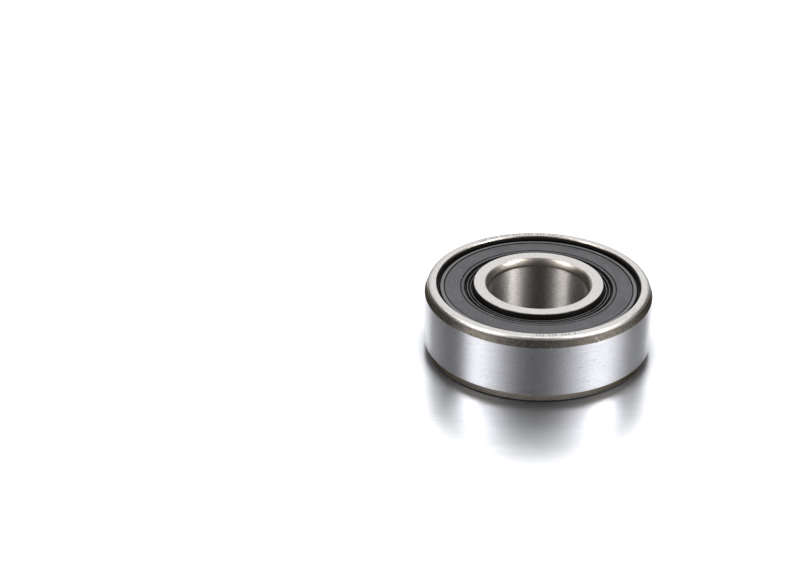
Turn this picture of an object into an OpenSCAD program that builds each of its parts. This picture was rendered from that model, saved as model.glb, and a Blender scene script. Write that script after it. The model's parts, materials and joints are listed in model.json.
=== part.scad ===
// Sealed single-row deep-groove ball bearing.
// It lies flat with its axis on Z and its lower side face on Z = 0.
// Section outlines are lists of [radius, height above the mid-plane, corner rounding].

/* [Overall size] */
// Bore diameter, the shaft's size
bore_d = 15; // [14.5:0.1:15.5]
// Outside diameter, the housing's size
outer_d = 35; // [34.5:0.1:35.5]
// Width over both side faces
width = 11; // [10.8:0.1:13]

/* [Rings] */
// Radial height of the outer ring's corner, seen on the side face
outer_corner_radial = 0.53; // [0.3:0.01:0.8]
// Length of the outer ring's corner along the axis
outer_corner_axial = 1.5; // [0.6:0.1:2]
// Radial height of the bore's corner, seen on the side face
bore_corner_radial = 0.75; // [0.4:0.05:0.9]
// Radius at which the outer ring's side face ends above the seal
outer_face_inner_r = 15.76; // [15.7:0.01:16]
// Radius at which the inner ring's side face ends beside the seal
inner_face_outer_r = 10; // [9.7:0.01:10.05]
// Height of the raceway shoulders, from the bottom of the groove
shoulder_h = 1.33; // [1.2:0.01:1.4]

/* [Balls] */
// Ball diameter
ball_d = 5.953; // [5.8:0.001:6]
// Number of balls
ball_count = 8; // [6:1:8]
// Raceway groove radius as a share of the ball diameter
conformity = 0.52; // [0.51:0.005:0.53]
// Gap between a ball and the bottom of each groove
ball_gap = 0.02; // [0.01:0.005:0.05]

/* [Cage] */
// Thickness of the pressed sheet
cage_sheet = 0.6; // [0.4:0.05:0.7]
// Width of the ribbon in the radial direction
cage_ribbon = 2.6; // [2:0.1:2.7]
// Gap between a ball and its pocket
pocket_gap = 0.08; // [0.05:0.01:0.12]
// Diameter of a rivet's shank
rivet_d = 1; // [0.8:0.05:1.1]
// Diameter of a rivet's head
rivet_head_d = 1.9; // [1.5:0.1:1.9]
// Height of a rivet's head
rivet_head_h = 0.45; // [0.3:0.05:0.6]

/* [Seals] */
// Depth of the seal's flat face below the side faces
seal_recess = 0.7; // [0.5:0.05:0.7]
// Distance from the mid-plane to the floor of the seal's seat
seal_seat_z = 4; // [3.9:0.05:4]
// Gap between the innermost lip and the inner ring
lip_gap = 0.05; // [0.02:0.01:0.1]
// Thickness of the steel insert that stiffens the rubber
insert_sheet = 0.3; // [0.2:0.05:0.35]

/* [Hidden] */
bore_r = bore_d / 2;
outer_r = outer_d / 2;
pitch_r = (bore_r + outer_r) / 2;
ball_r = ball_d / 2;
face_z = width / 2;

groove_r = conformity * ball_d;
inner_groove_bottom_r = pitch_r - ball_r - ball_gap;
outer_groove_bottom_r = pitch_r + ball_r + ball_gap;
inner_shoulder_r = inner_groove_bottom_r + shoulder_h;
outer_shoulder_r = outer_groove_bottom_r - shoulder_h;

pocket_r = ball_r + pocket_gap;
step_angle = 360 / ball_count;

// Outer ring's seal groove: a short chamfer and a wall, with an undercut behind them
face_chamfer = 0.16;
wall_r = outer_face_inner_r - face_chamfer;
wall_bottom_z = face_z - 0.75;
undercut_r = outer_face_inner_r + 0.29;
undercut_top_z = wall_bottom_z - 0.2;

// Bore corner: an arc that meets the side face at an edge and runs smoothly into the bore
bore_corner_slope = 60;
bore_corner_drop = bore_corner_radial / tan(bore_corner_slope);
bore_corner_rounding = 1.84 * bore_corner_radial;

// Inner ring's step that the seal lips run in
inner_step_z = seal_seat_z - 0.05;

// Seal: the flat face, its raised rims and the two lips inside them
seal_face_z = face_z - seal_recess;
seal_back_z = seal_seat_z + 0.05;
seal_bead_r = undercut_r - 0.15;
seal_bead_h = 0.38;
rim_top_z = seal_face_z + 0.05;
rim_outer_r = outer_face_inner_r - 0.7;
rim_inner_r = rim_outer_r - 0.5;
rim_foot_r = rim_outer_r + 0.14;
line_w = 0.14;
line_depth = 0.2;
inner_rim_outer_r = inner_face_outer_r + 1.84;
inner_rim_inner_r = inner_rim_outer_r - 0.46;
lip_ridge_r = [inner_face_outer_r + 0.88, inner_face_outer_r + 0.4];
ridge_foot_w = 0.28;
ridge_top_w = 0.1;
ridge_top_z = seal_back_z + 0.6;
furrow_z = seal_back_z + 0.15;
seal_bore_r = inner_face_outer_r + lip_gap;

// Seal insert: a flat ring with its outer edge bent outwards
insert_inner_r = inner_rim_inner_r + 0.2;
insert_outer_r = rim_outer_r - 0.1;
insert_edge_h = 0.52;

slice_count = 128;
arc_steps = 5;

// ---- Outlines ----

function plane_point(p) = [p.x, p.y];

function spun(v, angle) = [
    v.x * cos(angle) - v.y * sin(angle),
    v.x * sin(angle) + v.y * cos(angle)
];

// The arc that rounds corner b on the way from a to c
function corner_arc(a, b, c, rounding) =
    rounding == 0 ? [b] :
    let (
        back = (a - b) / norm(a - b),
        ahead = (c - b) / norm(c - b),
        half = acos(back * ahead) / 2,
        centre = b + (back + ahead) / norm(back + ahead) * rounding / sin(half),
        start = b + back * rounding / tan(half) - centre,
        sweep = (2 * half - 180) * sign(cross(back, ahead))
    )
    [for (i = [0:arc_steps]) centre + spun(start, sweep * i / arc_steps)];

function rounded(outline) =
    let (n = len(outline))
    [for (i = [0:n - 1])
        let (
            before = plane_point(outline[(i + n - 1) % n]),
            here = plane_point(outline[i]),
            after = plane_point(outline[(i + 1) % n])
        )
        each corner_arc(before, here, after, outline[i].z)];

// The upper half of a section, closed by its mirror image below the mid-plane
function both_halves(half) = concat(
    half,
    [for (i = [len(half) - 1:-1:0]) [half[i].x, -half[i].y, half[i].z]]
);

// ---- Placing ----

module lying_flat() {
    translate([0, 0, face_z]) children();
}

// side is 1 for the upper piece and -1 for its mirror image
module on_side(side) {
    lying_flat()
        mirror([0, 0, side < 0 ? 1 : 0])
            children();
}

module turned() {
    rotate_extrude($fn = slice_count) children();
}

module at_ball(index) {
    lying_flat()
        rotate([0, 0, (index - 1) * step_angle])
            translate([pitch_r, 0, 0])
                children();
}

// ---- Rings ----

module outer_ring() {
    half = [
        [outer_shoulder_r, seal_seat_z, 0.1],
        [undercut_r, seal_seat_z, 0.2],
        [undercut_r, undercut_top_z, 0.12],
        [wall_r, wall_bottom_z, 0.05],
        [wall_r, face_z - face_chamfer, 0.05],
        [outer_face_inner_r, face_z, 0.05],
        [outer_r - outer_corner_radial, face_z, 0.45],
        [outer_r, face_z - outer_corner_axial, 0.15]
    ];
    color([0.78, 0.77, 0.75])
        lying_flat() turned() difference() {
            polygon(rounded(both_halves(half)));
            translate([outer_groove_bottom_r - groove_r, 0])
                circle(r = groove_r, $fn = slice_count);
        }
}

module inner_ring() {
    half = [
        [bore_r, face_z - bore_corner_drop, bore_corner_rounding],
        [bore_r + bore_corner_radial, face_z, 0.03],
        [inner_face_outer_r, face_z, 0.12],
        [inner_face_outer_r, inner_step_z, 0.1],
        [inner_shoulder_r, inner_step_z, 0.1]
    ];
    color([0.8, 0.79, 0.77])
        lying_flat() turned() difference() {
            polygon(rounded(both_halves(half)));
            translate([inner_groove_bottom_r + groove_r, 0])
                circle(r = groove_r, $fn = slice_count);
        }
}

// ---- Balls ----

module ball(index) {
    color([0.86, 0.87, 0.88])
        at_ball(index) sphere(r = ball_r, $fn = slice_count);
}

// ---- Cage ----

// The ring-shaped space that the ribbon is cut from
module ribbon_space() {
    turned()
        translate([pitch_r - cage_ribbon / 2, 0])
            square([cage_ribbon, pocket_r + cage_sheet]);
}

module between_balls() {
    for (i = [1:ball_count])
        rotate([0, 0, (i - 0.5) * step_angle])
            translate([pitch_r, 0, 0])
                children();
}

module around_balls(radius) {
    for (i = [1:ball_count])
        rotate([0, 0, (i - 1) * step_angle])
            translate([pitch_r, 0, 0])
                sphere(r = radius, $fn = slice_count);
}

module cage_half(side) {
    color([0.62, 0.61, 0.58])
        on_side(side) difference() {
            intersection() {
                ribbon_space();
                union() {
                    cylinder(r = outer_r, h = cage_sheet, $fn = slice_count);
                    around_balls(pocket_r + cage_sheet);
                }
            }
            around_balls(pocket_r);
            between_balls()
                cylinder(d = rivet_d, h = 3 * cage_sheet, center = true, $fn = 48);
        }
}

module cage_rivet(index) {
    head_sphere_r = (pow(rivet_head_d / 2, 2) + pow(rivet_head_h, 2)) / (2 * rivet_head_h);
    color([0.7, 0.69, 0.66])
        lying_flat()
            rotate([0, 0, (index - 0.5) * step_angle])
                translate([pitch_r, 0, 0])
                    rotate_extrude($fn = 48) {
                        translate([0, -cage_sheet])
                            square([rivet_d / 2, 2 * cage_sheet]);
                        for (side = [0, 1])
                            mirror([0, side]) intersection() {
                                translate([0, cage_sheet + rivet_head_h - head_sphere_r])
                                    circle(r = head_sphere_r, $fn = slice_count);
                                translate([0, cage_sheet])
                                    square([rivet_head_d / 2, rivet_head_h]);
                            }
                    }
}

// ---- Seals ----

module insert_section() {
    polygon(rounded([
        [insert_inner_r, seal_back_z, 0],
        [insert_outer_r, seal_back_z, insert_sheet],
        [insert_outer_r, seal_back_z + insert_edge_h, 0],
        [insert_outer_r - insert_sheet, seal_back_z + insert_edge_h, 0],
        [insert_outer_r - insert_sheet, seal_back_z + insert_sheet, 0.05],
        [insert_inner_r, seal_back_z + insert_sheet, 0]
    ]));
}

// A narrow ridge that stands up around the axis
function ridge(radius, foot_z) = [
    [radius + ridge_foot_w / 2, foot_z, 0.05],
    [radius + ridge_top_w / 2, ridge_top_z, 0.04],
    [radius - ridge_top_w / 2, ridge_top_z, 0.04],
    [radius - ridge_foot_w / 2, foot_z, 0.05]
];

// A narrow line cut into the seal, with its outer edge at this radius
function cut_line(radius, from_z, to_z) = [
    [radius, from_z, 0.03],
    [radius, seal_face_z - line_depth, 0.03],
    [radius - line_w, seal_face_z - line_depth, 0.03],
    [radius - line_w, to_z, 0.03]
];

module seal(side) {
    outline = concat(
        [
            [insert_outer_r - insert_sheet, seal_back_z, 0],
            [insert_outer_r, seal_seat_z, 0.03],
            [seal_bead_r, seal_seat_z, 0.12],
            [seal_bead_r, seal_seat_z + seal_bead_h, 0.12],
            [rim_foot_r, seal_seat_z + seal_bead_h, 0.08],
            [rim_outer_r, rim_top_z, 0.12]
        ],
        cut_line(rim_inner_r, rim_top_z, seal_face_z),
        cut_line(inner_rim_outer_r + line_w, seal_face_z, seal_face_z - 0.02),
        [
            [inner_rim_inner_r, seal_face_z - 0.02, 0.12],
            [inner_rim_inner_r - 0.1, furrow_z, 0.08]
        ],
        ridge(lip_ridge_r[0], furrow_z),
        ridge(lip_ridge_r[1], furrow_z),
        [
            [seal_bore_r, furrow_z + 0.05, 0.05],
            [seal_bore_r, seal_back_z, 0.05]
        ]
    );
    color([0.16, 0.16, 0.17])
        on_side(side) turned() difference() {
            polygon(rounded(outline));
            insert_section();
        }
}

module seal_insert(side) {
    color([0.66, 0.67, 0.68])
        on_side(side) turned() insert_section();
}

outer_ring();
inner_ring();
cage_half(1);  // cage_half_upper
cage_half(-1);  // cage_half_lower
seal(1);  // seal_upper
seal(-1);  // seal_lower
seal_insert(1);  // seal_insert_upper
seal_insert(-1);  // seal_insert_lower
for (i = [1:ball_count]) {
    ball(i);
    cage_rivet(i);
}
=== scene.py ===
"""Sealed deep-groove ball bearing lying flat on a pale floor under soft studio light."""
import json
import math

import bpy
import numpy as np
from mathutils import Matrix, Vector

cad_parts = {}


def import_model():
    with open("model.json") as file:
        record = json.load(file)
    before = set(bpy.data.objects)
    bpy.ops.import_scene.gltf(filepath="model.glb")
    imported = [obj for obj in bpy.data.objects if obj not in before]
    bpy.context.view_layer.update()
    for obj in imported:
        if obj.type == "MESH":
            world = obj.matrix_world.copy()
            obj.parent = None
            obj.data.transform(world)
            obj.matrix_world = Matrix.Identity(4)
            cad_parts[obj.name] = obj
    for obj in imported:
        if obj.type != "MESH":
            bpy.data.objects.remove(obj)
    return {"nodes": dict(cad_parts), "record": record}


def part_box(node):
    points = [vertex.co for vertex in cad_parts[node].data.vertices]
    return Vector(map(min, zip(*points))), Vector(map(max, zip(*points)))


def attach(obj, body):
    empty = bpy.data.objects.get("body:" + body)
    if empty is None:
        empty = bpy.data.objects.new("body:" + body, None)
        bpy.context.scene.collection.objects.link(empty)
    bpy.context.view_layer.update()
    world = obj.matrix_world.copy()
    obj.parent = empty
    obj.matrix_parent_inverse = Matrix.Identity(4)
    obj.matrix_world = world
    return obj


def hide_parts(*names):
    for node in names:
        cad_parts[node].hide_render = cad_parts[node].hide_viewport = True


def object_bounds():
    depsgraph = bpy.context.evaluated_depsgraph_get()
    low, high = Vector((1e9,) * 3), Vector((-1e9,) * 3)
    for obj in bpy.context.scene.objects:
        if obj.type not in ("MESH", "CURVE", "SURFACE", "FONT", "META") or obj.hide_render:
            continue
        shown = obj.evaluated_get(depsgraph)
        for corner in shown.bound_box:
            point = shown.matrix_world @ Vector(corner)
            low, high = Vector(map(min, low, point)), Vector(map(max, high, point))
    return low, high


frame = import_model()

MM = 0.001
cad_low, cad_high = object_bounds()

# ---- Sizes: the driving ones come from the frame, the small ones are named here ----

mounts = {m["name"]: m for m in frame["record"]["mounts"]}
outer_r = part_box("outer_ring")[1].x
bore_r = mounts["bore"]["dims"]["r_mm"] * MM
top_z = cad_high.z
mid_z = (cad_low.z + cad_high.z) / 2
half_width = top_z - mid_z
ball_low, ball_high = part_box("ball_1")
pitch_r = (ball_low.x + ball_high.x) / 2
ball_r = (ball_high.z - ball_low.z) / 2
seal_low, seal_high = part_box("seal_upper")
seal_r = seal_high.x
rim_top = seal_high.z - mid_z
insert_low, insert_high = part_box("seal_insert_upper")
insert_r = insert_high.x
insert_back = insert_low.z - mid_z
insert_top = insert_high.z - mid_z
inner_shoulder_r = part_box("inner_ring")[1].x

ball_gap = 0.02 * MM
shoulder_h = 1.33 * MM
groove_r = 1.04 * ball_r
seat_z = insert_back - 0.05 * MM
sheet = 0.3 * MM
corner_radial = 0.53 * MM
corner_axial = half_width - mounts["housing_seat"]["dims"]["length_mm"] * MM / 2
bore_corner_radial = 0.75 * MM
bore_corner_slope = math.radians(60)
bore_corner_drop = bore_corner_radial / math.tan(bore_corner_slope)
bore_corner_rounding = 1.84 * bore_corner_radial
face_inner_r = outer_r - 1.74 * MM
face_outer_r = outer_r - corner_radial
inner_face_r = inner_shoulder_r - 0.8335 * MM
face_chamfer = 0.16 * MM
wall_r = face_inner_r - face_chamfer
wall_bottom_z = half_width - 0.75 * MM
undercut_r = face_inner_r + 0.29 * MM
cut_line_width = 0.17 * MM
cut_line_depth = 0.2 * MM

steps_around = 320
arc_steps = 6
raceway_steps = 32
support_gap = 0.02 * MM
sharp_angle = math.radians(40)

# Peened dots on the outer ring's face, in millimetres and degrees.
dot_r, first_row_r, row_gap, row_count = 0.18, 16.14, 0.42, 2
dot_pitch, dots_in_group = 1.7, 3


# ---- Outlines and turned meshes ----

def corner(radius, height, rounding, finish, edge=None):
    """A corner of a section outline. finish names the surface after it, edge that of its rounding."""
    at = np.array((radius, height))
    return {"at": at, "rounding": rounding, "finish": finish, "edge": edge or finish}


def arc_corners(centre, radius, start, end, steps, finish):
    """Points along a circular arc of a section, between two angles in radians."""
    angles = np.linspace(start, end, steps + 1)
    return [corner(centre[0] + radius * math.cos(a), centre[1] + radius * math.sin(a), 0, finish)
            for a in angles]


def mirrored(upper, finishes):
    """The upper half of a section, followed by its mirror image below the mid-plane."""
    lower = []
    for here, before in zip(reversed(upper), reversed(finishes)):
        lower.append(corner(here["at"][0], -here["at"][1], here["rounding"], before, here["edge"]))
    return upper + lower


def rounded(corners):
    """The outline with its corners rounded, as points and the finish after each point."""
    points, finishes = [], []
    for i, here in enumerate(corners):
        at, rounding = here["at"], here["rounding"]
        previous = corners[i - 1]
        if rounding == 0:
            points.append(at)
            finishes.append(here["finish"])
            continue
        back = previous["at"] - at
        ahead = corners[(i + 1) % len(corners)]["at"] - at
        back /= np.linalg.norm(back)
        ahead /= np.linalg.norm(ahead)
        half = math.acos(np.clip(back @ ahead, -1, 1)) / 2
        reach = rounding / math.tan(half)
        centre = at + (back + ahead) / np.linalg.norm(back + ahead) * rounding / math.sin(half)
        start = at + back * reach - centre
        turn = math.copysign(math.pi - 2 * half, -(back[0] * ahead[1] - back[1] * ahead[0]))
        points.append(at + back * (reach + support_gap))
        finishes.append(previous["finish"])
        for angle in np.linspace(0, turn, arc_steps + 1):
            c, s = math.cos(angle), math.sin(angle)
            points.append(centre + np.array((c * start[0] - s * start[1], s * start[0] + c * start[1])))
            finishes.append(here["edge"])
        finishes[-1] = here["finish"]
        points.append(at + ahead * (reach + support_gap))
        finishes.append(here["finish"])
    return points, finishes


def turned(name, corners, materials, side=1):
    """A closed mesh turned round Z from a section given about the mid-plane."""
    points, finishes = rounded(corners)
    section = np.array(points)
    section[:, 1] = mid_z + side * section[:, 1]
    count = len(section)
    angles = np.arange(steps_around) * 2 * math.pi / steps_around
    verts = np.stack((
        np.outer(np.cos(angles), section[:, 0]),
        np.outer(np.sin(angles), section[:, 0]),
        np.tile(section[:, 1], (steps_around, 1)),
    ), axis=-1).reshape(-1, 3)
    following = np.roll(section, -1, axis=0)
    area = np.sum(section[:, 0] * following[:, 1] - following[:, 0] * section[:, 1])
    slots = sorted(set(finishes))
    faces, slot_of_face = [], []
    for k in range(steps_around):
        here, there = k * count, (k + 1) % steps_around * count
        for j in range(count):
            after = (j + 1) % count
            face = (here + j, there + j, there + after, here + after)
            faces.append(face if area > 0 else face[::-1])
            slot_of_face.append(slots.index(finishes[j]))
    mesh = bpy.data.meshes.new(name)
    mesh.from_pydata(verts.tolist(), [], faces)
    mesh.polygons.foreach_set("material_index", slot_of_face)
    mesh.polygons.foreach_set("use_smooth", [True] * len(faces))
    mesh.set_sharp_from_angle(angle=sharp_angle)
    for slot in slots:
        mesh.materials.append(materials[slot])
    piece = bpy.data.objects.new(name, mesh)
    bpy.context.scene.collection.objects.link(piece)
    return piece


# ---- Materials ----

class Surface:
    """One procedural material: short calls that add and join its nodes."""

    def __init__(self, name, colour, metallic, roughness):
        self.material = bpy.data.materials.new(name)
        self.material.use_nodes = True
        self.tree = self.material.node_tree
        self.shader = self.tree.nodes["Principled BSDF"]
        self.shader.inputs["Metallic"].default_value = metallic
        self.shader.inputs["Roughness"].default_value = roughness
        self.shader.inputs["Base Color"].default_value = (*colour, 1)
        self.place = self.node("ShaderNodeTexCoord").outputs["Object"]

    def node(self, kind, **settings):
        made = self.tree.nodes.new(kind)
        for key, value in settings.items():
            setattr(made, key, value)
        return made

    def feed(self, socket, value):
        if isinstance(value, bpy.types.NodeSocket):
            self.tree.links.new(value, socket)
        else:
            socket.default_value = value

    def math(self, operation, a, b=0.0, clamp=False):
        made = self.node("ShaderNodeMath", operation=operation, use_clamp=clamp)
        self.feed(made.inputs[0], a)
        self.feed(made.inputs[1], b)
        return made.outputs[0]

    def stretch(self, x, y, z):
        """Object coordinates in millimetres, scaled along each axis."""
        made = self.node("ShaderNodeVectorMath", operation="MULTIPLY")
        self.feed(made.inputs[0], self.place)
        made.inputs[1].default_value = (x / MM, y / MM, z / MM)
        return made.outputs[0]

    def radius_and_height(self):
        """Distance from the Z axis and height, both in millimetres, and the direction outwards."""
        flat = self.stretch(1, 1, 0)
        length = self.node("ShaderNodeVectorMath", operation="LENGTH")
        outwards = self.node("ShaderNodeVectorMath", operation="NORMALIZE")
        split = self.node("ShaderNodeSeparateXYZ")
        self.feed(length.inputs[0], flat)
        self.feed(outwards.inputs[0], flat)
        self.feed(split.inputs[0], self.place)
        return length.outputs["Value"], self.math("DIVIDE", split.outputs["Z"], MM), outwards.outputs[0]

    def round_grain(self, around, across):
        """Coordinates for marks that run round the axis: slow around it, quick across it."""
        radius, height, outwards = self.radius_and_height()
        direction = self.node("ShaderNodeSeparateXYZ")
        self.feed(direction.inputs[0], outwards)
        made = self.node("ShaderNodeCombineXYZ")
        self.feed(made.inputs[0], self.math("MULTIPLY", direction.outputs[0], around))
        self.feed(made.inputs[1], self.math("MULTIPLY", direction.outputs[1], around))
        self.feed(made.inputs[2], self.math("MULTIPLY", self.math("ADD", radius, height), across))
        return made.outputs[0]

    def noise(self, vector, scale=1.0, detail=3.0, roughness=0.6):
        made = self.node("ShaderNodeTexNoise")
        self.feed(made.inputs["Vector"], vector)
        made.inputs["Scale"].default_value = scale
        made.inputs["Detail"].default_value = detail
        made.inputs["Roughness"].default_value = roughness
        return made.outputs["Fac"]

    def spread(self, value, low, high, to_low=0.0, to_high=1.0):
        made = self.node("ShaderNodeMapRange")
        self.feed(made.inputs["Value"], value)
        for key, number in (("From Min", low), ("From Max", high), ("To Min", to_low), ("To Max", to_high)):
            made.inputs[key].default_value = number
        return made.outputs["Result"]

    def blend(self, factor, first, second):
        """Mixes two colours by a factor from 0 to 1."""
        made = self.node("ShaderNodeMix", data_type="RGBA")
        self.feed(made.inputs["Factor"], factor)
        for socket, colour in ((made.inputs["A"], first), (made.inputs["B"], second)):
            self.feed(socket, colour if isinstance(colour, bpy.types.NodeSocket) else (*colour, 1))
        return made.outputs["Result"]

    def nicks(self, size, amount):
        """The amount on a few scattered nicks about size millimetres across, 0 elsewhere."""
        rare, rarer = 0.71, 0.76
        spots = self.noise(self.stretch(1 / size, 1 / size, 1 / size), detail=1)
        return self.math("MULTIPLY", self.spread(spots, rare, rarer), amount)

    def layered(self, first, second, share):
        """Two patterns added, the first with the given share of 1."""
        second = self.math("MULTIPLY", second, 1 - share)
        return self.math("ADD", self.math("MULTIPLY", first, share), second)

    def colour(self, value):
        self.feed(self.shader.inputs["Base Color"], value)

    def roughness(self, value):
        self.feed(self.shader.inputs["Roughness"], value)

    def grain_round_axis(self, amount):
        """Stretches reflections across fine grain that runs round the Z axis."""
        quarter_turn = 0.25
        tangent = self.node("ShaderNodeTangent", direction_type="RADIAL", axis="Z")
        self.feed(self.shader.inputs["Tangent"], tangent.outputs[0])
        self.shader.inputs["Anisotropic"].default_value = amount
        self.shader.inputs["Anisotropic Rotation"].default_value = quarter_turn

    def bump(self, height, depth, strength=1.0):
        made = self.node("ShaderNodeBump")
        made.inputs["Strength"].default_value = strength
        made.inputs["Distance"].default_value = depth
        self.feed(made.inputs["Height"], height)
        self.feed(self.shader.inputs["Normal"], made.outputs[0])


def peened_dots(s, from_side, start, stop):
    """1 on rows of small dots in groups, between two angles from a side of the outer ring's face."""
    radius, _, outwards = s.radius_and_height()
    split = s.node("ShaderNodeSeparateXYZ")
    s.feed(split.inputs[0], outwards)
    towards = s.math("MULTIPLY", split.outputs["Y"], from_side)
    angle = s.math("DEGREES", s.math("ARCTAN2", split.outputs["X"], towards))
    steps = s.math("DIVIDE", angle, dot_pitch)
    across = s.math("SUBTRACT", s.math("FRACT", steps), 0.5)
    across = s.math("MULTIPLY", across, first_row_r * math.radians(dot_pitch))
    shown = 0.0
    for row in range(row_count):
        along = s.math("SUBTRACT", radius, first_row_r + row * row_gap)
        square = s.math("ADD", s.math("MULTIPLY", along, along), s.math("MULTIPLY", across, across))
        shown = s.math("ADD", s.spread(square, dot_r ** 2, 0.3 * dot_r ** 2), shown)
    place_in_group = s.math("FLOORED_MODULO", s.math("FLOOR", steps), dots_in_group + 1)
    for test in (
        s.math("GREATER_THAN", angle, start),
        s.math("LESS_THAN", angle, stop),
        s.math("GREATER_THAN", place_in_group, 0.5),
    ):
        shown = s.math("MULTIPLY", shown, test)
    return shown


def face_steel():
    """Side faces: surface ground, bright, with fine grain, speckle and two rows of peened dots."""
    s = Surface("face_steel", (0.42, 0.408, 0.398), 1.0, 0.3)
    grain = s.noise(s.stretch(9, 0.9, 1), detail=4)
    speckle = s.noise(s.stretch(7, 7, 7), detail=2)
    mixed = s.layered(grain, speckle, 0.6)
    steel = s.blend(s.spread(mixed, 0.3, 0.7), (0.31, 0.301, 0.294), (0.5, 0.487, 0.476))
    dots = s.math("ADD", peened_dots(s, 1, -32, 17.5), peened_dots(s, -1, -7, 17.5))
    steel = s.blend(s.nicks(0.4, 0.7), steel, (0.08, 0.075, 0.07))
    s.colour(s.blend(s.math("MULTIPLY", dots, 0.85), steel, (0.03, 0.027, 0.025)))
    s.roughness(s.spread(mixed, 0.3, 0.7, 0.36, 0.26))
    s.bump(mixed, 0.004 * MM)
    return s.material


def edge_steel():
    """The rounded edge between a side face and its corner, tumbled smooth and bright."""
    s = Surface("edge_steel", (0.5, 0.48, 0.46), 1.0, 0.34)
    wear = s.noise(s.round_grain(12, 3), detail=3)
    s.colour(s.blend(s.spread(wear, 0.3, 0.7), (0.26, 0.248, 0.236), (0.39, 0.375, 0.36)))
    s.roughness(s.spread(wear, 0.3, 0.7, 0.38, 0.3))
    s.bump(wear, 0.001 * MM)
    return s.material


def ground_steel():
    """Outside diameter: centreless ground and honed, satin, with grain round the axis."""
    s = Surface("ground_steel", (0.39, 0.39, 0.415), 1.0, 0.2)
    s.grain_round_axis(0.65)
    grain = s.noise(s.round_grain(5, 14), detail=4)
    fleck = s.noise(s.round_grain(30, 5), detail=3)
    mixed = s.layered(grain, fleck, 0.6)
    steel = s.blend(s.spread(mixed, 0.3, 0.7), (0.3, 0.297, 0.311), (0.44, 0.436, 0.448))
    s.colour(s.blend(s.nicks(0.5, 0.5), steel, (0.12, 0.115, 0.115)))
    s.roughness(s.spread(mixed, 0.3, 0.7, 0.18, 0.23))
    s.bump(mixed, 0.0012 * MM)
    return s.material


def corner_steel():
    """Corners: left as turned and heat treated, dark brown-grey and mottled."""
    s = Surface("corner_steel", (0.15, 0.135, 0.115), 1.0, 0.34)
    s.shader.inputs["Specular Tint"].default_value = (0.3, 0.27, 0.24, 1)
    mottle = s.noise(s.round_grain(60, 4), detail=5, roughness=0.7)
    lines = s.noise(s.round_grain(6, 18), detail=2)
    mixed = s.layered(mottle, lines, 0.6)
    steel = s.blend(s.spread(mixed, 0.35, 0.68), (0.06, 0.053, 0.044), (0.23, 0.208, 0.178))
    s.colour(s.blend(s.nicks(0.45, 0.8), steel, (0.5, 0.47, 0.43)))
    s.roughness(s.spread(mixed, 0.3, 0.7, 0.38, 0.29))
    s.bump(mixed, 0.006 * MM)
    return s.material


def bore_steel():
    """Bore: ground, slightly warmer than the outside, with speckled streaks."""
    s = Surface("bore_steel", (0.4, 0.38, 0.36), 1.0, 0.5)
    s.grain_round_axis(1.0)
    streaks = s.noise(s.round_grain(12, 8), detail=4)
    speckle = s.noise(s.stretch(5, 5, 5), detail=3, roughness=0.7)
    mixed = s.layered(streaks, speckle, 0.5)
    s.colour(s.blend(s.spread(mixed, 0.3, 0.7), (0.18, 0.169, 0.159), (0.46, 0.437, 0.413)))
    s.roughness(s.spread(mixed, 0.3, 0.7, 0.46, 0.54))
    s.bump(mixed, 0.004 * MM)
    return s.material


def bore_corner_steel():
    """Bore corners: turned, brown-grey, smoother than the outside corners."""
    s = Surface("bore_corner_steel", (0.17, 0.152, 0.13), 1.0, 0.24)
    mottle = s.noise(s.round_grain(16, 8), detail=4)
    s.colour(s.blend(s.spread(mottle, 0.35, 0.65), (0.16, 0.143, 0.123), (0.25, 0.227, 0.2)))
    s.roughness(s.spread(mottle, 0.3, 0.7, 0.36, 0.29))
    s.bump(mottle, 0.0005 * MM)
    return s.material


def raceway_steel():
    """Raceways: honed nearly to a mirror."""
    s = Surface("raceway_steel", (0.72, 0.71, 0.7), 1.0, 0.1)
    grain = s.noise(s.round_grain(20, 20), detail=3)
    s.colour(s.blend(grain, (0.66, 0.65, 0.64), (0.76, 0.75, 0.74)))
    s.roughness(s.spread(grain, 0.3, 0.7, 0.08, 0.14))
    s.bump(grain, 0.0006 * MM)
    return s.material


def recess_shade_steel():
    """Seal grooves and shoulders: fine turned, matte, and darkened nearly to black as painted shade in the
    grooves.
    """
    s = Surface("recess_shade_steel", (0.07, 0.065, 0.06), 1.0, 0.4)
    lines = s.noise(s.round_grain(8, 12), detail=3)
    # Painted shade: the steel colour is held near black so the grooves and shoulders read as shadowed.
    s.colour(s.blend(s.spread(lines, 0.3, 0.7), (0.04, 0.037, 0.034), (0.1, 0.093, 0.086)))
    s.roughness(s.spread(lines, 0.3, 0.7, 0.46, 0.32))
    s.bump(lines, 0.006 * MM)
    return s.material


def rubber(name, dark, light, gloss):
    """Nitrile rubber: dark grey, matte, with a fine moulded grain and faint wiping marks."""
    s = Surface(name, light, 0.0, 0.5)
    s.shader.inputs["Specular IOR Level"].default_value = gloss
    fine = s.noise(s.stretch(6, 6, 6), detail=3)
    wiped = s.noise(s.round_grain(5, 1.6), detail=3)
    cloud = s.noise(s.stretch(0.35, 0.35, 0.35), detail=2)
    mixed = s.layered(s.layered(wiped, cloud, 0.5), fine, 0.6)
    plain = s.blend(s.spread(mixed, 0.38, 0.62), dark, light)
    s.colour(s.blend(s.nicks(0.4, 0.6), plain, (0.14, 0.14, 0.145)))
    s.roughness(s.spread(s.math("ADD", fine, wiped), 0.7, 1.3, 0.42, 0.6))
    s.bump(fine, 0.006 * MM)
    return s.material


def ball_steel():
    """Balls: lapped chrome steel with hairline lapping marks."""
    s = Surface("ball_steel", (0.78, 0.78, 0.79), 1.0, 0.05)
    marks = s.noise(s.stretch(3, 3, 3), detail=6, roughness=0.8)
    s.colour(s.blend(marks, (0.74, 0.74, 0.75), (0.82, 0.82, 0.83)))
    s.roughness(s.spread(marks, 0.3, 0.7, 0.04, 0.08))
    s.bump(marks, 0.0004 * MM)
    return s.material


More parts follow.
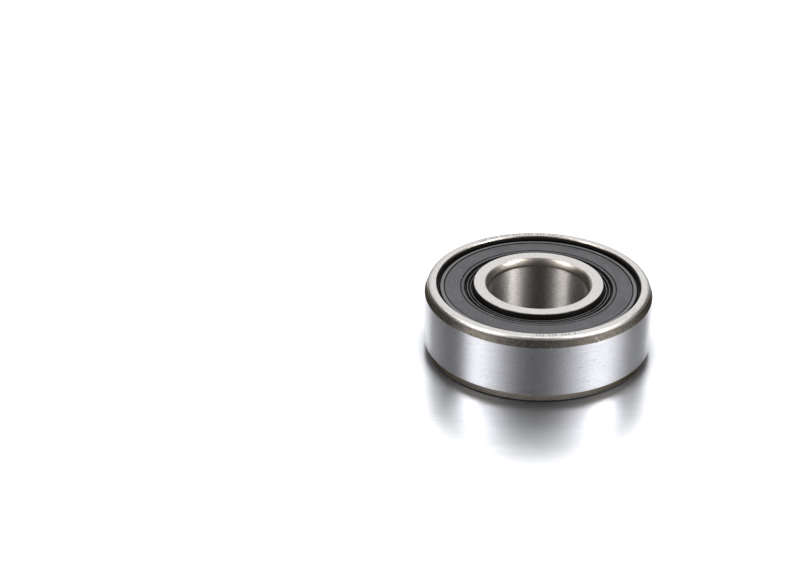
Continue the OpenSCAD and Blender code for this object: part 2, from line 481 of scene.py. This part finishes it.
def sheet_steel(name, dark, light):
    """Pressed or rolled sheet: satin with soft drawing marks."""
    s = Surface(name, light, 1.0, 0.34)
    marks = s.noise(s.stretch(4, 4, 9), detail=4)
    cloud = s.noise(s.stretch(0.8, 0.8, 0.8), detail=2)
    mixed = s.layered(marks, cloud, 0.5)
    s.colour(s.blend(s.spread(mixed, 0.35, 0.65), dark, light))
    s.roughness(s.spread(mixed, 0.3, 0.7, 0.42, 0.28))
    s.bump(marks, 0.004 * MM)
    return s.material


def floor_sheet():
    """Floor: a satin metal sheet with hardly visible brushing, with a painted contact shadow darkening it
    next to the bearing.
    """
    shadow_from_r, shadow_to_r, painted_shadow_level = 16.2, 20.0, 0.3
    s = Surface("floor_sheet", (0.9, 0.94, 1.0), 1.0, 0.37)
    radius = s.radius_and_height()[0]
    brushing = s.noise(s.stretch(0.05, 2.4, 1), detail=4)
    sheet = s.blend(s.spread(brushing, 0.3, 0.7), (0.78, 0.795, 0.825), (0.86, 0.875, 0.9))
    # Painted contact shadow: between the two radii the sheet's colour is scaled down to 0.3 towards the
    # bearing.
    s.colour(s.blend(s.spread(radius, shadow_from_r, shadow_to_r, painted_shadow_level, 1.0), (0, 0, 0), sheet))
    s.roughness(s.spread(brushing, 0.3, 0.7, 0.3, 0.33))
    return s.material


materials = {
    "face": face_steel(),
    "edge": edge_steel(),
    "ground": ground_steel(),
    "corner": corner_steel(),
    "bore": bore_steel(),
    "bore_corner": bore_corner_steel(),
    "raceway": raceway_steel(),
    "recess": recess_shade_steel(),
    # The seal rubber comes in lit and shaded copies: the lip copy, lighter and glossier, is a painted
    # highlight on crests and rims; the near-black furrow copy is painted shade in furrows, cut lines and
    # the outer groove.
    "rubber": rubber("seal_rubber", (0.01, 0.01, 0.012), (0.032, 0.032, 0.035), 0.31),
    "lip": rubber("painted_highlight_lip_rubber", (0.03, 0.03, 0.032), (0.055, 0.055, 0.058), 0.42),
    "furrow": rubber("painted_shade_furrow_rubber", (0.002, 0.002, 0.002), (0.005, 0.005, 0.005), 0.1),
}


# ---- Rings ----

def raceway(bottom_r, shoulder_r, finish):
    """The groove's section from its lower edge to its upper edge."""
    outwards = 1 if bottom_r > shoulder_r else -1
    centre_r = bottom_r - outwards * groove_r
    reach = math.acos(abs(shoulder_r - centre_r) / groove_r)
    middle = 0 if outwards > 0 else math.pi
    start, end = middle - outwards * reach, middle + outwards * reach
    return arc_corners((centre_r, 0), groove_r, start, end, raceway_steps, finish)


def outer_ring():
    """Outer ring: ground cylinder, turned corners, seal grooves and raceway."""
    bottom = pitch_r + ball_r + ball_gap
    shoulder = bottom - shoulder_h
    upper = [
        corner(shoulder, seat_z, 0.1 * MM, "recess"),
        corner(undercut_r, seat_z, 0.2 * MM, "recess"),
        corner(undercut_r, wall_bottom_z - 0.2 * MM, 0.12 * MM, "recess"),
        corner(wall_r, wall_bottom_z, 0.05 * MM, "recess"),
        corner(wall_r, half_width - face_chamfer, 0.05 * MM, "corner"),
        corner(face_inner_r, half_width, 0.05 * MM, "face"),
        corner(face_outer_r, half_width, 0.6 * MM, "corner", "edge"),
        corner(outer_r, half_width - corner_axial, 0.15 * MM, "ground"),
    ]
    before = ["recess"] + [c["finish"] for c in upper[:-1]]
    section = mirrored(upper, before) + raceway(bottom, shoulder, "raceway")
    section[-1]["finish"] = "recess"
    piece = turned("outer_ring_turned", section, materials)
    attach(piece, "outer_race")
    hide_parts("outer_ring")


def inner_ring():
    """Inner ring: ground bore with rounded corners, shoulders and raceway."""
    bottom = pitch_r - ball_r - ball_gap
    shoulder = bottom + shoulder_h
    step_z = seat_z - 0.05 * MM
    upper = [
        corner(bore_r, half_width - bore_corner_drop, bore_corner_rounding, "bore_corner"),
        corner(bore_r + bore_corner_radial, half_width, 0.03 * MM, "face"),
        corner(inner_face_r, half_width, 0.12 * MM, "recess"),
        corner(inner_face_r, step_z, 0.1 * MM, "recess"),
        corner(shoulder, step_z, 0.1 * MM, "recess"),
    ]
    before = ["bore"] + [c["finish"] for c in upper[:-1]]
    lower = mirrored(upper, before)[len(upper):]
    groove = raceway(bottom, shoulder, "raceway")[::-1]
    groove[-1]["finish"] = "recess"
    piece = turned("inner_ring_turned", upper + groove + lower, materials)
    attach(piece, "inner_race")
    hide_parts("inner_ring")


# ---- Seals ----

def ridge(radius, foot_z, crest_z):
    """One of the seal's lips: a low ridge round the bore side, between two furrows."""
    foot, crest = 0.14 * MM, 0.06 * MM
    # The crest gets the painted highlight rubber, and the slopes and feet get the painted shade rubber.
    return [
        corner(radius + foot, foot_z, 0.05 * MM, "furrow"),
        corner(radius + crest, crest_z, 0.04 * MM, "lip"),
        corner(radius - crest, crest_z, 0.04 * MM, "furrow"),
        corner(radius - foot, foot_z, 0.05 * MM, "furrow"),
    ]


def cut_line(radius, from_z, to_z, floor_z):
    """A narrow turned line in the seal's face, from its outer edge to its inner one."""
    inner = radius - cut_line_width
    # The line's walls and floor get the painted shade rubber.
    return [
        corner(radius, from_z, 0.03 * MM, "furrow"),
        corner(radius, floor_z, 0.03 * MM, "furrow"),
        corner(inner, floor_z, 0.03 * MM, "furrow"),
        corner(inner, to_z, 0.03 * MM, "rubber"),
    ]


def seal(name, side):
    """A moulded seal with rims, cut lines and lips. side is 1 for the upper one, -1 for the lower."""
    face_z = rim_top - 0.05 * MM
    rim_outer_r = face_inner_r - 0.7 * MM
    inner_rim_outer_r = inner_face_r + 1.84 * MM
    inner_rim_inner_r = inner_rim_outer_r - 0.46 * MM
    furrow_z = insert_back + 0.15 * MM
    ridge_top = insert_back + 0.6 * MM
    bead_top = seat_z + 0.38 * MM
    bore = inner_face_r + 0.05 * MM
    line_floor = face_z - cut_line_depth
    inner_face_z = face_z - 0.02 * MM
    core_r = inner_rim_inner_r + 0.2 * MM
    section = [
        corner(insert_r, insert_back, 0, "rubber"),
        corner(insert_r, seat_z, 0.03 * MM, "rubber"),
        # The bead in the outer groove and the furrows get the painted shade rubber, and the rim top gets
        # the painted highlight rubber.
        corner(seal_r, seat_z, 0.12 * MM, "furrow"),
        corner(seal_r, bead_top, 0.12 * MM, "furrow"),
        corner(rim_outer_r + 0.14 * MM, bead_top, 0.08 * MM, "furrow"),
        corner(rim_outer_r, rim_top, 0.12 * MM, "lip"),
        *cut_line(rim_outer_r - 0.5 * MM, rim_top, face_z, line_floor),
        *cut_line(inner_rim_outer_r + cut_line_width, face_z, inner_face_z, line_floor),
        corner(inner_rim_inner_r, inner_face_z, 0.12 * MM, "furrow"),
        corner(inner_rim_inner_r - 0.1 * MM, furrow_z, 0.08 * MM, "furrow"),
        *ridge(inner_face_r + 0.88 * MM, furrow_z, ridge_top),
        *ridge(inner_face_r + 0.4 * MM, furrow_z, ridge_top),
        corner(bore, furrow_z + 0.05 * MM, 0.05 * MM, "furrow"),
        corner(bore, insert_back, 0.05 * MM, "rubber"),
        corner(core_r, insert_back, 0, "rubber"),
        corner(core_r, insert_back + sheet, 0, "rubber"),
        corner(insert_r - sheet, insert_back + sheet, 0.05 * MM, "rubber"),
        corner(insert_r - sheet, insert_top, 0, "rubber"),
        corner(insert_r, insert_top, 0, "rubber"),
    ]
    piece = turned(name + "_moulded", section, materials, side)
    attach(piece, "outer_race")
    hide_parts(name)


# ---- Pieces kept from the frame, with their materials ----

def dress(prefix, material):
    """Gives a material to every kept node whose name starts with the prefix."""
    for name, node in frame["nodes"].items():
        if name.startswith(prefix):
            for slot in node.material_slots:
                slot.material = material


outer_ring()
inner_ring()
seal("seal_upper", 1)
seal("seal_lower", -1)
dress("ball_", ball_steel())
dress("cage_half", sheet_steel("cage_sheet", (0.46, 0.45, 0.43), (0.62, 0.61, 0.58)))
dress("cage_rivet", sheet_steel("rivet_head", (0.5, 0.49, 0.47), (0.64, 0.63, 0.6)))
dress("seal_insert", sheet_steel("insert_sheet", (0.42, 0.43, 0.44), (0.58, 0.59, 0.6)))


# ---- Stage, lights and camera ----

def floor():
    """A large flat floor under the bearing."""
    size = 3.0
    mesh = bpy.data.meshes.new("floor")
    corners = [(-size, -size, 0), (size, -size, 0), (size, size, 0), (-size, size, 0)]
    mesh.from_pydata(corners, [], [(0, 1, 2, 3)])
    mesh.materials.append(floor_sheet())
    plane = bpy.data.objects.new("floor", mesh)
    bpy.context.scene.collection.objects.link(plane)
    return plane


def softbox(name, bearing, elevation, distance, width, height, radiance):
    """A soft rectangular light that faces the object. Bearing 0 is in front, towards the camera."""
    data = bpy.data.lights.new(name, "AREA")
    data.shape = "RECTANGLE"
    data.size, data.size_y = width, height
    data.energy = radiance * math.pi * width * height
    light = bpy.data.objects.new(name, data)
    a, e = math.radians(bearing), math.radians(elevation)
    away = Vector((math.sin(a) * math.cos(e), -math.cos(a) * math.cos(e), math.sin(e)))
    light.location = away * distance
    light.rotation_euler = away.to_track_quat("Z", "Y").to_euler()
    light.visible_camera = False
    bpy.context.scene.collection.objects.link(light)
    return light


def link_floor(light, plane, state):
    """EXCLUDE keeps a light off the floor, as a flag would. INCLUDE keeps it to the floor alone."""
    group = bpy.data.collections.new(light.name + "_floor")
    group.objects.link(plane)
    group.collection_objects[0].light_linking.link_state = state
    light.light_linking.receiver_collection = group


def lobe(bearing, centre, left_width, right_width):
    """A smooth bump of height 1 at its centre, with its own width on each side."""
    width = left_width if bearing < centre else right_width
    return math.exp(-((bearing - centre) / width) ** 2)


def strip_lights():
    """Upright strips side by side on an arc, bright on either side and dark in front."""
    distance, height, elevation, step = 0.8, 0.8, 30, 8
    for bearing in range(-104, 121, step):
        left = 3.1 * lobe(bearing, -69, 9, 28)
        right = 2.8 * lobe(bearing, 65, 32, 25)
        width = 2 * distance * math.tan(math.radians(step / 2))
        softbox(f"strip_{bearing}", bearing, elevation, distance, width, height, left + right)


def world(strength):
    """A faint even light from everywhere."""
    made = bpy.data.worlds.new("studio")
    made.use_nodes = True
    back = made.node_tree.nodes["Background"]
    back.inputs["Color"].default_value = (1, 1, 1, 1)
    back.inputs["Strength"].default_value = strength
    bpy.context.scene.world = made


def camera():
    """A long lens from the front, tilted down, with the bearing low and to the right."""
    tilt = math.radians(28.64)
    distance, aside, drop = 339.0 * MM, 21.27 * MM, 4.31 * MM
    forward = Vector((0, math.cos(tilt), -math.sin(tilt)))
    up = Vector((0, math.sin(tilt), math.cos(tilt)))
    right = Vector((1, 0, 0))
    data = bpy.data.cameras.new("camera")
    data.sensor_width = 36
    data.lens = 98.6
    data.clip_start, data.clip_end = 0.01, 20
    made = bpy.data.objects.new("camera", data)
    made.location = Vector((0, 0, mid_z)) - right * aside + up * drop - forward * distance
    made.rotation_euler = (math.pi / 2 - tilt, 0, 0)
    bpy.context.scene.collection.objects.link(made)
    bpy.context.scene.camera = made


floor_plane = floor()
softbox("back_panel", 180, 31, 1.2, 1.6, 0.95, 1.55)
softbox("top_back", 180, 70, 1.2, 2.0, 0.8, 3.4)
strip_lights()
right_key = softbox("right_key", 74, 54, 0.8, 0.12, 0.38, 41.0)
left_key = softbox("left_key", -80, 54, 0.8, 0.12, 0.38, 29.0)
floor_fill = softbox("floor_fill", 0, 74, 0.8, 1.2, 0.4, 2.6)
link_floor(right_key, floor_plane, "EXCLUDE")
link_floor(left_key, floor_plane, "EXCLUDE")
link_floor(floor_fill, floor_plane, "INCLUDE")
world(0.02)
bpy.context.scene.view_settings.view_transform = "Standard"
camera()
